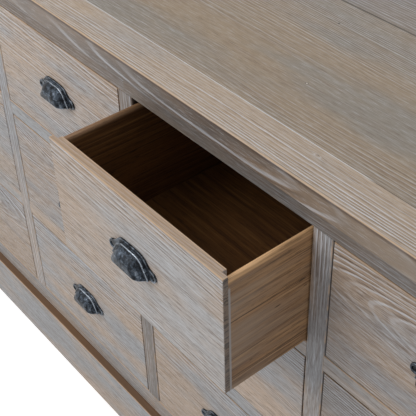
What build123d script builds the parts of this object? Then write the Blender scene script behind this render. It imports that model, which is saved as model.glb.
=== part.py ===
import os

from build123d import *

os.makedirs("parts", exist_ok=True)

# A floor-standing chest of drawers: four columns of three inset drawers in a face frame on a plinth.
# +Z is up, the drawers open towards -Y, and the origin is on the floor at mid-width and mid-depth.
# Sizes are in millimetres.

# Face frame
opening_width = 350
stile_width = 31
end_stile_width = 40
frame_thickness = 20
bottom_rail_height = 40
lower_row_height = 197
middle_row_height = 197
upper_row_height = 191
divider_rail_height = 28
top_rail_height = 40
tenon_thickness = 7
tenon_length = 10
tenon_shoulder = 5
mortise_clearance = 0.5
arris = 0.8

# Carcass behind the frame
carcass_depth = 428
end_panel_thickness = 20
partition_thickness = 15
floor_thickness = 16
housing_depth = 5
back_thickness = 8
back_rebate = 10

# Top
top_thickness = 31
top_overhang = 18.5
top_back_overhang = 3.5
front_board_width = 58
back_board_width = 124
open_seam = 1
tongue_thickness = 9
tongue_length = 8
top_round = 2

# Plinth
plinth_height = 112.5
plinth_thickness = 22
plinth_ledge = 14
brace_thickness = 25

# Drawers
column_letters = "abcd"
open_drawer = "c1"
open_distance = 131
front_gap = 2
front_thickness = 14
lip_thickness = 7.5
side_thickness = 10
side_drop = 7
drawer_back_thickness = 10
drawer_back_drop = 12
panel_thickness = 6
panel_rise = 8
groove_depth = 5
groove_clearance = 1
back_clearance = 3

# Runners that carry the drawers, and kickers that keep the upper ones from tipping
runner_thickness = 14
runner_bearing_width = 14
guide_height = 20
running_clearance = 0.3
guide_clearance = 0.5
kicker_clearance = 2

# Cast cup pull, measured about the middle of the drawer front
pull_width = 97
pull_rise = 26
pull_drop = 6
flange_thickness = 3
flange_shoulder = 24
flange_arch = 2
ear_rise = 1.5
ear_radius = 6.5
cup_width = 75
cup_crown_width = 43
cup_lip_width = 58
cup_rise = 21
cup_corner = 8
lip_corner = 10
cup_projection = 18.5
cup_bulge_radius = 32
cup_wall = 2.5
ridge_width = 2
ridge_height = 6

# One overrun serves every cut.
overrun = 1

# Places worked out from the sizes
column_pitch = opening_width + stile_width
middle_column = (len(column_letters) - 1) / 2
column_centres = [(index - middle_column) * column_pitch for index in range(len(column_letters))]
stile_centres = [centre + column_pitch / 2 for centre in column_centres[:-1]]
frame_half_length = column_centres[-1] + opening_width / 2
carcass_half_width = frame_half_length + end_stile_width
face_y = -carcass_depth / 2
frame_mid_y = face_y + frame_thickness / 2
frame_back_y = face_y + frame_thickness
back_y = carcass_depth / 2
back_inner_y = back_y - back_thickness

lower_row_z = plinth_height + bottom_rail_height
middle_row_z = lower_row_z + lower_row_height + divider_rail_height
upper_row_z = middle_row_z + middle_row_height + divider_rail_height
top_rail_z = upper_row_z + upper_row_height
carcass_top_z = top_rail_z + top_rail_height
rows = (
    (1, upper_row_z, upper_row_height),
    (2, middle_row_z, middle_row_height),
    (3, lower_row_z, lower_row_height),
)
divider_places = [row_z - divider_rail_height / 2 for row_z in (middle_row_z, upper_row_z)]


def write(piece, name):
    piece.label = name
    export_step(piece, f"parts/{name}.step")


# Face frame: the rails and inner stiles are tenoned into each other and into the end stiles.
top_tenon_height = top_rail_height - 2 * tenon_shoulder
bottom_tenon_height = bottom_rail_height - 2 * tenon_shoulder
divider_tenon_height = divider_rail_height - 2 * tenon_shoulder
stile_tenon_width = stile_width - 2 * tenon_shoulder
mortise_length = 2 * (tenon_length + mortise_clearance)


def front_edges(piece, axis):
    return piece.faces().sort_by(Axis.Y)[0].edges().filter_by(axis)


def end_stile(name, hand):
    inner_x = hand * frame_half_length
    with BuildPart() as stile:
        with BuildSketch(Plane.XY.offset(plinth_height)):
            with Locations((inner_x + hand * end_stile_width / 2, frame_mid_y)):
                Rectangle(end_stile_width, frame_thickness)
        extrude(amount=carcass_top_z - plinth_height)
        chamfer(front_edges(stile, Axis.Z), arris)
        with Locations((inner_x, frame_mid_y, carcass_top_z - top_rail_height / 2)):
            Box(mortise_length, tenon_thickness, top_tenon_height, mode=Mode.SUBTRACT)
        with Locations((inner_x, frame_mid_y, lower_row_z - bottom_rail_height / 2)):
            Box(mortise_length, tenon_thickness, bottom_tenon_height, mode=Mode.SUBTRACT)
        with Locations([(inner_x, frame_mid_y, z) for z in divider_places]):
            Box(mortise_length, tenon_thickness, divider_tenon_height, mode=Mode.SUBTRACT)
    write(stile.part, name)


def inner_stile(name, centre_x):
    with BuildPart() as stile:
        with BuildSketch(Plane.XY.offset(lower_row_z)):
            with Locations((centre_x, frame_mid_y)):
                Rectangle(stile_width, frame_thickness)
        extrude(amount=top_rail_z - lower_row_z)
        chamfer(front_edges(stile, Axis.Z), arris)
        with Locations((centre_x, frame_mid_y, lower_row_z), (centre_x, frame_mid_y, top_rail_z)):
            Box(stile_tenon_width, tenon_thickness, 2 * tenon_length)
        edges_x = (centre_x - stile_width / 2, centre_x + stile_width / 2)
        with Locations([(x, frame_mid_y, z) for x in edges_x for z in divider_places]):
            Box(mortise_length, tenon_thickness, divider_tenon_height, mode=Mode.SUBTRACT)
    write(stile.part, name)


def long_rail(name, low_z, height, tenon_height, stile_edge_z):
    with BuildPart() as rail:
        with BuildSketch(Plane.XY.offset(low_z)):
            with Locations((0, frame_mid_y)):
                Rectangle(2 * frame_half_length, frame_thickness)
        extrude(amount=height)
        chamfer(front_edges(rail, Axis.X), arris)
        mid_z = low_z + height / 2
        with Locations([(hand * frame_half_length, frame_mid_y, mid_z) for hand in (-1, 1)]):
            Box(2 * tenon_length, tenon_thickness, tenon_height)
        with Locations([(x, frame_mid_y, stile_edge_z) for x in stile_centres]):
            Box(stile_tenon_width, tenon_thickness, mortise_length, mode=Mode.SUBTRACT)
    write(rail.part, name)


end_stile("left_end_stile", -1)
end_stile("right_end_stile", 1)
for stile_name, stile_x in zip(("left_stile", "centre_stile", "right_stile"), stile_centres):
    inner_stile(stile_name, stile_x)
long_rail("top_rail", top_rail_z, top_rail_height, top_tenon_height, top_rail_z)
long_rail("bottom_rail", plinth_height, bottom_rail_height, bottom_tenon_height, lower_row_z)

with BuildPart() as divider_rails:
    with Locations([(x, frame_mid_y, z) for x in column_centres for z in divider_places]):
        Box(opening_width, frame_thickness, divider_rail_height)
    chamfer(divider_rails.edges().filter_by(Axis.X).group_by(Axis.Y)[0], arris)
    rail_ends = [centre + hand * opening_width / 2 for centre in column_centres for hand in (-1, 1)]
    with Locations([(x, frame_mid_y, z) for x in rail_ends for z in divider_places]):
        Box(2 * tenon_length, tenon_thickness, divider_tenon_height)
write(divider_rails.part, "divider_rails")

# Carcass: rebated end panels, partitions housed in the floor board, and a back panel.
panel_inner_x = carcass_half_width - end_panel_thickness
panel_depth = carcass_depth - frame_thickness
panel_mid_y = frame_back_y + panel_depth / 2
inside_depth = back_inner_y - frame_back_y
inside_mid_y = (back_inner_y + frame_back_y) / 2
carcass_height = carcass_top_z - plinth_height
floor_top_z = plinth_height + floor_thickness
partition_z = floor_top_z - housing_depth


def end_panel(name, hand):
    with BuildPart() as panel:
        with BuildSketch(Plane.XY.offset(plinth_height)):
            with Locations((hand * (panel_inner_x + end_panel_thickness / 2), panel_mid_y)):
                Rectangle(end_panel_thickness, panel_depth)
            with Locations((hand * panel_inner_x, back_y)):
                Rectangle(2 * back_rebate, 2 * back_thickness, mode=Mode.SUBTRACT)
        extrude(amount=carcass_height)
        with Locations((hand * panel_inner_x, panel_mid_y, plinth_height)):
            Box(2 * housing_depth, panel_depth + overrun, 2 * floor_thickness, mode=Mode.SUBTRACT)
        outer_edges = panel.faces().sort_by(Axis.X)[-1 if hand > 0 else 0].edges()
        chamfer(outer_edges.filter_by(Axis.Z).sort_by(Axis.Y)[-1], arris)
    write(panel.part, name)


end_panel("left_end_panel", -1)
end_panel("right_end_panel", 1)

partition_names = ("left_partition", "centre_partition", "right_partition")
for partition_name, partition_x in zip(partition_names, stile_centres):
    with BuildPart() as partition:
        with BuildSketch(Plane.XY.offset(partition_z)):
            with Locations((partition_x, inside_mid_y)):
                Rectangle(partition_thickness, inside_depth)
        extrude(amount=carcass_top_z - partition_z)
    write(partition.part, partition_name)

with BuildPart() as floor_board:
    with BuildSketch(Plane.XY.offset(plinth_height)):
        with Locations((0, inside_mid_y)):
            Rectangle(2 * (panel_inner_x + housing_depth), inside_depth)
    extrude(amount=floor_thickness)
    with Locations([(x, inside_mid_y, floor_top_z) for x in stile_centres]):
        Box(partition_thickness, inside_depth + overrun, 2 * housing_depth, mode=Mode.SUBTRACT)
write(floor_board.part, "floor_board")

with BuildPart() as back_panel:
    with BuildSketch(Plane.XY.offset(plinth_height)):
        with Locations((0, back_inner_y + back_thickness / 2)):
            Rectangle(2 * (panel_inner_x + back_rebate), back_thickness)
    extrude(amount=carcass_height)
write(back_panel.part, "back_panel")

# Top: three boards joined by tongues, the rear seam standing a little open.
top_half_width = carcass_half_width + top_overhang
top_front_y = face_y - top_overhang
top_back_y = back_y + top_back_overhang
front_seam_y = top_front_y + front_board_width
back_seam_y = top_back_y - back_board_width
tongue_z = carcass_top_z + top_thickness / 2


def top_board(name, front, back, tongue_root=None, groove_mouth=None):
    with BuildPart() as board:
        with BuildSketch(Plane.YZ):
            with Locations(((front + back) / 2, tongue_z)):
                Rectangle(back - front, top_thickness)
        extrude(amount=top_half_width, both=True)
        rounded = board.edges().filter_by(Axis.Y)
        if tongue_root is None:
            rounded += board.edges().filter_by(Axis.X).group_by(Axis.Y)[-1]
        if groove_mouth is None:
            rounded += board.edges().filter_by(Axis.X).group_by(Axis.Y)[0]
        fillet(rounded, top_round)
        tongue_size = (2 * top_half_width - 2 * top_round, 2 * tongue_length, tongue_thickness)
        if tongue_root is not None:
            with Locations((0, tongue_root, tongue_z)):
                Box(*tongue_size)
        if groove_mouth is not None:
            with Locations((0, groove_mouth, tongue_z)):
                Box(*tongue_size, mode=Mode.SUBTRACT)
    write(board.part, name)


top_board("top_front_board", top_front_y, front_seam_y, tongue_root=front_seam_y)
top_board(
    "top_middle_board",
    front_seam_y,
    back_seam_y - open_seam,
    tongue_root=back_seam_y,
    groove_mouth=front_seam_y,
)
top_board("top_back_board", back_seam_y, top_back_y, groove_mouth=back_seam_y)

# Plinth: boards mitred at the front corners and standing proud of the carcass, with braces inside.
plinth_half_width = carcass_half_width + plinth_ledge
plinth_inner_x = plinth_half_width - plinth_thickness
plinth_front_y = face_y - plinth_ledge
plinth_inner_y = plinth_front_y + plinth_thickness
plinth_back_y = back_y - plinth_thickness

with BuildPart() as plinth_front:
    with BuildSketch():
        with BuildLine():
            Polyline(
                (-plinth_half_width, plinth_front_y),
                (plinth_half_width, plinth_front_y),
                (plinth_inner_x, plinth_inner_y),
                (-plinth_inner_x, plinth_inner_y),
                close=True,
            )
        make_face()
    extrude(amount=plinth_height)
    chamfer(front_edges(plinth_front, Axis.X).sort_by(Axis.Z)[-1], arris)
write(plinth_front.part, "plinth_front")

with BuildPart() as plinth_sides:
    with BuildSketch():
        with BuildLine():
            Polyline(
                (plinth_half_width, plinth_front_y),
                (plinth_half_width, back_y),
                (plinth_inner_x, back_y),
                (plinth_inner_x, plinth_inner_y),
                close=True,
            )
        make_face()
    extrude(amount=plinth_height)
    outer_face = plinth_sides.faces().sort_by(Axis.X)[-1]
    chamfer(outer_face.edges().filter_by(Axis.Y).sort_by(Axis.Z)[-1], arris)
    mirror(about=Plane.YZ)
write(plinth_sides.part, "plinth_sides")

with BuildPart() as plinth_back:
    with BuildSketch():
        with Locations((0, (plinth_back_y + back_y) / 2)):
            Rectangle(2 * plinth_inner_x, plinth_thickness)
    extrude(amount=plinth_height)
write(plinth_back.part, "plinth_back")

with BuildPart() as plinth_braces:
    with BuildSketch():
        with Locations([(x, (plinth_inner_y + plinth_back_y) / 2) for x in stile_centres]):
            Rectangle(brace_thickness, plinth_back_y - plinth_inner_y)
    extrude(amount=plinth_height)
write(plinth_braces.part, "plinth_braces")

# Runners and kickers: strips along the partitions and end panels, on both sides of every column.
end_reach = end_stile_width - end_panel_thickness
partition_reach = (stile_width - partition_thickness) / 2
side_crown_z = top_rail_z - front_gap - side_drop
strips = []
for column, centre in enumerate(column_centres):
    left_reach = end_reach if column == 0 else partition_reach
    right_reach = end_reach if column == len(column_centres) - 1 else partition_reach
    strips.append((centre - opening_width / 2 - left_reach, left_reach, Align.MIN))
    strips.append((centre + opening_width / 2 + right_reach, right_reach, Align.MAX))

# A runner is two strips: the lower one bears the drawer, and the one on it guides the drawer's side.
bearing_places = [row_z + front_gap - running_clearance for number, row_z, row_height in rows]
with BuildPart() as bearing_strips:
    with BuildSketch(Plane.XZ.offset(-frame_back_y)):
        for strip_x, reach, towards in strips:
            with Locations([(strip_x, z) for z in bearing_places]):
                Rectangle(reach + runner_bearing_width, runner_thickness, align=(towards, Align.MAX))
    extrude(amount=-inside_depth)
with BuildPart() as guide_strips:
    with BuildSketch(Plane.XZ.offset(-frame_back_y)):
        for strip_x, reach, towards in strips:
            with Locations([(strip_x, z) for z in bearing_places]):
                guide_width = reach + front_gap - guide_clearance
                Rectangle(guide_width, guide_height, align=(towards, Align.MIN))
    extrude(amount=-inside_depth)
write(Compound(children=[*bearing_strips.solids(), *guide_strips.solids()]), "drawer_runners")

with BuildPart() as top_kickers:
    with BuildSketch(Plane.XZ.offset(-frame_back_y)):
        for strip_x, reach, towards in strips:
            with Locations((strip_x, side_crown_z + kicker_clearance)):
                Rectangle(reach + runner_bearing_width, runner_thickness, align=(towards, Align.MIN))
    extrude(amount=-inside_depth)
write(top_kickers.part, "top_kickers")

# Drawers: rabbeted fronts, round-topped sides in the rabbets, and a bottom panel in grooves.
drawer_half_width = opening_width / 2 - front_gap
inner_half_width = drawer_half_width - side_thickness
drawer_length = back_inner_y - back_clearance - face_y
panel_reach = groove_depth - groove_clearance


def drawer_front(name, centre_x, front_y, low_z, height):
    with BuildPart() as front:
        with BuildSketch(Plane.XY.offset(low_z)):
            with Locations((centre_x, front_y)):
                Rectangle(2 * drawer_half_width, lip_thickness, align=(Align.CENTER, Align.MIN))
                Rectangle(2 * inner_half_width, front_thickness, align=(Align.CENTER, Align.MIN))
        extrude(amount=height)
        chamfer(front.faces().sort_by(Axis.Y)[0].edges(), arris)
        with Locations((centre_x, front_y + front_thickness, low_z + panel_rise + panel_thickness / 2)):
            Box(2 * inner_half_width, 2 * groove_depth, panel_thickness, mode=Mode.SUBTRACT)
    write(front.part, name)


def drawer_side(hand, centre_x, front_y, low_z, height):
    start_y = front_y + lip_thickness
    end_y = front_y + drawer_length
    round_z = low_z + height - side_drop - side_thickness / 2
    side_x = centre_x + hand * (drawer_half_width - side_thickness / 2)
    groove_x = centre_x + hand * inner_half_width
    with BuildPart() as side:
        with BuildSketch(Plane.XZ.offset(-start_y)):
            with Locations((side_x, low_z)):
                Rectangle(side_thickness, round_z - low_z, align=(Align.CENTER, Align.MIN))
            with Locations((side_x, round_z)):
                Circle(side_thickness / 2)
        extrude(amount=start_y - end_y)
        with Locations((groove_x, (start_y + end_y) / 2, low_z + panel_rise + panel_thickness / 2)):
            Box(2 * groove_depth, drawer_length + overrun, panel_thickness, mode=Mode.SUBTRACT)
    return side.part


def drawer_box(name, centre_x, front_y, low_z, height):
    end_y = front_y + drawer_length
    panel_top_z = low_z + panel_rise + panel_thickness
    panel_front_y = front_y + front_thickness - panel_reach
    with BuildPart() as back:
        with BuildSketch(Plane.XY.offset(panel_top_z)):
            with Locations((centre_x, end_y)):
                Rectangle(2 * inner_half_width, drawer_back_thickness, align=(Align.CENTER, Align.MAX))
        extrude(amount=low_z + height - side_drop - drawer_back_drop - panel_top_z)
    with BuildPart() as panel:
        with BuildSketch(Plane.XY.offset(panel_top_z)):
            with Locations((centre_x, end_y)):
                Rectangle(
                    2 * (inner_half_width + panel_reach),
                    end_y - panel_front_y,
                    align=(Align.CENTER, Align.MAX),
                )
        extrude(amount=-panel_thickness)
    sides = [drawer_side(hand, centre_x, front_y, low_z, height) for hand in (-1, 1)]
    write(Compound(children=[*sides, back.part, panel.part]), name)


# Cast cup pull: a flange with an ear at each end, a ridge, and a hollow cup open below and behind.
ear_x = pull_width / 2 - ear_radius


def cup_outline(plane, inset, skirt, rounded):
    half_width = cup_width / 2 - inset
    half_crown = (cup_crown_width - inset) / 2
    with BuildSketch(plane) as outline:
        with BuildLine():
            Polyline(
                (-half_width, -pull_drop - skirt),
                (-half_width, 0),
                (-half_crown, cup_rise - inset),
                (half_crown, cup_rise - inset),
                (half_width, 0),
                (half_width, -pull_drop - skirt),
                close=True,
            )
        make_face()
        if rounded:
            fillet(outline.vertices().group_by(Axis.Y)[-1], cup_corner - inset)
    return outline.sketch


# The cup's body is what its front outline, its bulging side profile and its plan have in common.
def cup_body(plane, inset, skirt, rounded):
    crown = cup_rise - inset
    lip_out = cup_projection - inset
    lowest = -pull_drop - skirt - overrun
    half_width = cup_width / 2 - inset
    half_lip = cup_lip_width / 2 - inset
    with BuildPart() as body:
        extrude(cup_outline(plane.offset(-skirt), inset, skirt, rounded), amount=lip_out + skirt)
        with BuildSketch(Plane(plane.origin, x_dir=plane.z_dir, z_dir=-plane.x_dir)):
            with BuildLine():
                RadiusArc((0, crown), (lip_out, -pull_drop), cup_bulge_radius - inset)
                Polyline(
                    (lip_out, -pull_drop),
                    (lip_out, lowest),
                    (-overrun, lowest),
                    (-overrun, crown),
                    (0, crown),
                )
            make_face()
        extrude(amount=cup_width, both=True, mode=Mode.INTERSECT)
        with BuildSketch(Plane(plane.origin, x_dir=plane.x_dir, z_dir=-plane.y_dir)) as plan:
            with BuildLine():
                Polyline(
                    (-half_width, -overrun),
                    (-half_width, 0),
                    (-half_lip, lip_out),
                    (half_lip, lip_out),
                    (half_width, 0),
                    (half_width, -overrun),
                    close=True,
                )
            make_face()
            if rounded:
                fillet(plan.vertices().group_by(Axis.Y)[-1], lip_corner)
        extrude(amount=cup_width, both=True, mode=Mode.INTERSECT)
    return body.part


def cup_pull(name, plane):
    with BuildPart() as pull:
        with BuildSketch(plane):
            with Locations((-ear_x, ear_rise), (ear_x, ear_rise)):
                Circle(ear_radius)
            with BuildLine():
                ThreePointArc(
                    (-flange_shoulder, pull_rise - flange_arch),
                    (0, pull_rise),
                    (flange_shoulder, pull_rise - flange_arch),
                )
            make_hull()
        extrude(amount=flange_thickness)
        extrude(cup_outline(plane, -ridge_width, 0, True), amount=ridge_height)
        add(cup_body(plane, 0, 0, True))
        add(cup_body(plane, cup_wall, overrun, False), mode=Mode.SUBTRACT)
    write(pull.part, name)


for letter, centre in zip(column_letters, column_centres):
    for number, row_z, row_height in rows:
        drawer_name = f"{letter}{number}"
        drawer_y = face_y - open_distance if drawer_name == open_drawer else face_y
        drawer_z = row_z + front_gap
        drawer_height = row_height - 2 * front_gap
        drawer_front(f"drawer_{drawer_name}_front", centre, drawer_y, drawer_z, drawer_height)
        drawer_box(f"drawer_{drawer_name}_box", centre, drawer_y, drawer_z, drawer_height)
        pull_centre = (centre, drawer_y, drawer_z + drawer_height / 2)
        cup_pull(f"drawer_{drawer_name}_pull", Plane(pull_centre, x_dir=(1, 0, 0), z_dir=(0, -1, 0)))
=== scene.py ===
import math

import bpy
from mathutils import Euler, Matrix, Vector
from mathutils.kdtree import KDTree


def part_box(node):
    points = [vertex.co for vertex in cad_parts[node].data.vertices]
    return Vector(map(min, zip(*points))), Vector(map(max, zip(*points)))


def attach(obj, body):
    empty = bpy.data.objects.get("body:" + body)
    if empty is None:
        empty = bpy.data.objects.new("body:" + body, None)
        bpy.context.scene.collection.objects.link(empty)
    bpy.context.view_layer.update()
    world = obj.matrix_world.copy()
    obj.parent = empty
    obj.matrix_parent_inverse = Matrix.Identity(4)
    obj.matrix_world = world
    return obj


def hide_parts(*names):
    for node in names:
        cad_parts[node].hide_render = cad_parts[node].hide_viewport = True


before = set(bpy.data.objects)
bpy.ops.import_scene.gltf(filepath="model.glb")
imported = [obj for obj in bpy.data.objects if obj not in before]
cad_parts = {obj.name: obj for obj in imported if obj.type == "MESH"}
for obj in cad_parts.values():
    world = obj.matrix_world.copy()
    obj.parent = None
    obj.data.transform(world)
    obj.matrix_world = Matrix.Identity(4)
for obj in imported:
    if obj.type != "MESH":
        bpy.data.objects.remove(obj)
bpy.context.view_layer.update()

scene = bpy.context.scene
scene.view_settings.view_transform = "Standard"
mm = 0.001
drawerNames = [letter + number for letter in "abcd" for number in "123"]
print("frame loaded:", len(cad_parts), "nodes")


def put(tree, kind, inputs=None, **settings):  # one node, its settings, and what feeds it
    node = tree.nodes.new(kind)
    for key, value in settings.items():
        setattr(node, key, value)
    for key, value in (inputs or {}).items():
        if isinstance(value, bpy.types.NodeSocket):
            tree.links.new(value, node.inputs[key])
        else:
            node.inputs[key].default_value = value
    return node


def calc(tree, operation, first, second=0.0, third=0.0):
    node = put(tree, "ShaderNodeMath", {0: first, 1: second, 2: third}, operation=operation)
    return node.outputs[0]


def plus(tree, first, second):
    return calc(tree, "ADD", first, second)


def minus(tree, first, second):
    return calc(tree, "SUBTRACT", first, second)


def times(tree, first, second):
    return calc(tree, "MULTIPLY", first, second)


def squares(tree, first, second):  # the sum of two squares
    return plus(tree, times(tree, first, first), times(tree, second, second))


def distance(tree, first, second):
    return calc(tree, "SQRT", squares(tree, first, second))


def vectorCalc(tree, operation, first, second):
    node = put(tree, "ShaderNodeVectorMath", {0: first, 1: second}, operation=operation)
    return node.outputs[0]


def parted(tree, vector):  # its x, y and z
    return put(tree, "ShaderNodeSeparateXYZ", {0: vector}).outputs


def ramp(tree, value, start, end, low=0.0, high=1.0):  # smooth step from start to end
    inputs = {"Value": value, "From Min": start, "From Max": end, "To Min": low, "To Max": high}
    return put(tree, "ShaderNodeMapRange", inputs, interpolation_type="SMOOTHSTEP").outputs[0]


def fall(tree, value, start, end, most=1.0):  # smooth step down to nothing
    return ramp(tree, value, start, end, most, 0.0)


def band(tree, value, start, full, fading, end):  # a rise and a fall
    return times(tree, ramp(tree, value, start, full), fall(tree, value, fading, end))


def mix(tree, factor, first, second, blend="MIX"):
    node = put(tree, "ShaderNodeMix", {0: factor, 6: first, 7: second}, data_type="RGBA", blend_type=blend)
    return node.outputs[2]


def coat(tree, color, *coats):  # colours laid over one another, each by its share
    for share, shade in coats:
        color = mix(tree, share, color, shade)
    return color


def noise(tree, vector, stretch, seed, detail=2.0, roughness=0.5):  # stretch: how fine along x, y and z
    place = vectorCalc(tree, "MULTIPLY", vector, stretch)
    inputs = {"Vector": place, "W": seed, "Scale": 1.0, "Detail": detail, "Roughness": roughness}
    return put(tree, "ShaderNodeTexNoise", inputs, noise_dimensions="4D").outputs["Fac"]


def tint(red, green, blue):  # a colour as seen on screen, 0 to 255
    parts = [channel / 255 for channel in (red, green, blue)]
    return tuple(part / 12.92 if part < 0.04045 else ((part + 0.055) / 1.055) ** 2.4 for part in parts) + (1.0,)


def newGroup(name, ins, outs):
    tree = bpy.data.node_groups.new(name, "ShaderNodeTree")
    kinds = {float: "NodeSocketFloat", tuple: "NodeSocketVector", list: "NodeSocketColor"}
    for label, value in ins.items():
        socket = tree.interface.new_socket(name=label, in_out="INPUT", socket_type=kinds[type(value)])
        socket.default_value = value
    for label, kind in outs.items():
        tree.interface.new_socket(name=label, in_out="OUTPUT", socket_type=kinds[kind])
    return tree, tree.nodes.new("NodeGroupInput").outputs, tree.nodes.new("NodeGroupOutput").inputs


def give(tree, out, values):  # what a group hands out
    for label, value in values.items():
        tree.links.new(value, out[label])


surfaceOuts = {"Color": list, "Roughness": float, "Height": float}

# growth rings of a sawn board: the grain runs along x, the saw cut lies in x and y
ringLook = {
    "Vector": (0.0, 0.0, 0.0), "Seed": 0.0, "Spacing": 0.005, "Wander": 0.01, "Heart": 0.06, "Offset": 0.15,
    "Slope": 0.05, "Lines": 0.9, "Upper": 0.0, "Upper Edge": -0.055, "Knot": (9.0, 9.0, 9.0), "Knot Size": 0.01,
}


def buildGrowthRings():
    outs = dict.fromkeys(("Lime Line", "Late Line", "Fibre", "Streak", "Patch", "Knot"), float)
    tree, given, out = newGroup("growthRings", ringLook, outs)
    place = given["Vector"]
    parts = parted(tree, place)
    seed = times(tree, given["Seed"], 7.13)
    # distance from the heart, which wanders and is a little ragged
    slow = noise(tree, place, (1.7, 8.0, 8.0), seed)
    ragged = noise(tree, place, (12.0, 120.0, 120.0), seed, 3.0)
    sway = times(tree, minus(tree, slow, 0.5), times(tree, given["Wander"], 3.0))
    rough = times(tree, minus(tree, ragged, 0.5), 0.005)
    across = plus(tree, plus(tree, parts[1], sway), plus(tree, rough, given["Offset"]))
    lean = times(tree, parts[0], given["Slope"])
    depth = plus(tree, plus(tree, parts[2], given["Heart"]), lean)
    radius = distance(tree, across, depth)
    # a knot that the rings bulge round
    apart = parted(tree, vectorCalc(tree, "SUBTRACT", place, given["Knot"]))
    along = calc(tree, "DIVIDE", apart[0], times(tree, given["Knot Size"], 2.6))
    beside = calc(tree, "DIVIDE", apart[1], given["Knot Size"])
    bulge = calc(tree, "EXPONENT", times(tree, squares(tree, along, beside), -1.0))
    swollen = plus(tree, radius, times(tree, bulge, times(tree, given["Knot Size"], 1.6)))
    # years of uneven width, each drawn more or less strongly
    widths = {"W": calc(tree, "MULTIPLY_ADD", swollen, 45.0, seed), "Detail": 1.0, "Scale": 1.0}
    uneven = put(tree, "ShaderNodeTexNoise", widths, noise_dimensions="1D").outputs["Fac"]
    phase = plus(tree, calc(tree, "DIVIDE", swollen, given["Spacing"]), times(tree, uneven, 1.5))
    ring = calc(tree, "FRACT", phase)
    yearSeed = plus(tree, calc(tree, "FLOOR", phase), seed)
    year = put(tree, "ShaderNodeTexWhiteNoise", {"W": yearSeed}, noise_dimensions="1D").outputs["Value"]
    yearShare = calc(tree, "MULTIPLY_ADD", year, 0.75, 0.35)
    # broken lines in bands, faint at the heart, stronger beyond the upper edge
    broken = noise(tree, place, (5.0, 120.0, 120.0), plus(tree, seed, 13.0), 3.0, 0.6)
    bands = noise(tree, place, (1.2, 15.0, 15.0), plus(tree, seed, 53.0), 1.0)
    rift = ramp(tree, calc(tree, "DIVIDE", calc(tree, "ABSOLUTE", across), radius), 0.05, 0.5, 0.3, 1.0)
    fromUpper = minus(tree, parts[1], given["Upper Edge"])
    upper = times(tree, fall(tree, fromUpper, -0.016, 0.016), given["Upper"])
    strength = plus(tree, times(tree, ramp(tree, bands, 0.36, 0.64, 0.15, 1.0), given["Lines"]), upper)
    kept = times(tree, times(tree, ramp(tree, broken, 0.34, 0.56, 0.3, 1.0), rift), yearShare)
    drawn = times(tree, kept, strength)
    give(tree, out, {
        "Lime Line": times(tree, band(tree, ring, 0.62, 0.76, 0.88, 0.98), drawn),
        "Late Line": times(tree, band(tree, ring, 0.0, 0.06, 0.14, 0.4), drawn),
        "Fibre": noise(tree, place, (50.0, 760.0, 760.0), seed, 3.0, 0.7),
        "Streak": noise(tree, place, (6.0, 300.0, 300.0), plus(tree, seed, 71.0), 4.0, 0.65),
        "Patch": noise(tree, place, (3.4, 15.0, 15.0), plus(tree, seed, 31.0), 4.0, 0.55),
        "Knot": ramp(tree, bulge, 0.9, 0.985),
    })
    return tree


# how near a point is to the edges of its board, broken up as hand sanding leaves it
def buildArris():
    ins = {"Vector": (0.0, 0.0, 0.0), "Low": (0.0, 0.0, 0.0), "High": (1.0, 1.0, 1.0), "Width": 0.0015,
           "Sides": 0.4, "Seam": -1.0, "Seam Width": 0.0016}
    outs = dict.fromkeys(("Edge", "Above", "Ends", "Face", "Drop", "Inward", "Back"), float)
    tree, given, out = newGroup("arrisWear", ins, outs)
    fromLow = vectorCalc(tree, "SUBTRACT", given["Vector"], given["Low"])
    fromHigh = vectorCalc(tree, "SUBTRACT", given["High"], given["Vector"])
    toFront = parted(tree, fromLow)[1]
    toHigh = parted(tree, fromHigh)
    toTop = toHigh[2]
    toSeam = minus(tree, toHigh[1], given["Seam"])
    near = vectorCalc(tree, "MAXIMUM", vectorCalc(tree, "MINIMUM", fromLow, fromHigh), (0.0, 0.0, 0.0))
    parts = parted(tree, near)
    least = calc(tree, "MINIMUM", parts[0], calc(tree, "MINIMUM", parts[1], parts[2]))
    most = calc(tree, "MAXIMUM", parts[0], calc(tree, "MAXIMUM", parts[1], parts[2]))
    total = plus(tree, parts[0], plus(tree, parts[1], parts[2]))
    toEdge = minus(tree, total, plus(tree, least, most))  # the middle one of the three
    breaks = noise(tree, given["Vector"], (38.0, 38.0, 38.0), 3.0, 4.0, 0.6)
    reach = times(tree, given["Width"], calc(tree, "MULTIPLY_ADD", breaks, 2.2, 0.05))
    edge = fall(tree, calc(tree, "DIVIDE", toEdge, reach), 0.35, 1.0)
    uppermost = fall(tree, toTop, 0.002, 0.004)
    lesser = times(tree, given["Sides"], ramp(tree, breaks, 0.4, 0.62))
    share = put(tree, "ShaderNodeMix", {0: uppermost, 2: lesser, 3: 1.0}).outputs[0]
    forward = ramp(tree, toSeam, 0.003, 0.005)  # no wear along a joint behind
    give(tree, out, {
        "Edge": times(tree, times(tree, edge, share), forward),
        "Above": fall(tree, toTop, 0.0002, 0.0007),
        "Ends": fall(tree, parts[0], 0.0001, 0.0004),
        "Face": fall(tree, toFront, 0.0008, 0.0016),
        "Drop": toTop,
        "Inward": ramp(tree, toFront, 0.0014, 0.004),
        "Back": fall(tree, calc(tree, "DIVIDE", toSeam, given["Seam Width"]), 0.2, 1.0),
    })
    return tree


# limewash: tan and grey wood with pale lime left in the rings
limeTints = {
    "streak": tint(120, 98, 80), "fibre": tint(98, 82, 70), "late": tint(100, 80, 64),
    "lime": tint(226, 230, 238), "knot": tint(104, 92, 82), "sanded": tint(208, 177, 145),
    "endPale": tint(136, 116, 99), "endDark": tint(50, 38, 30),
}


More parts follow.
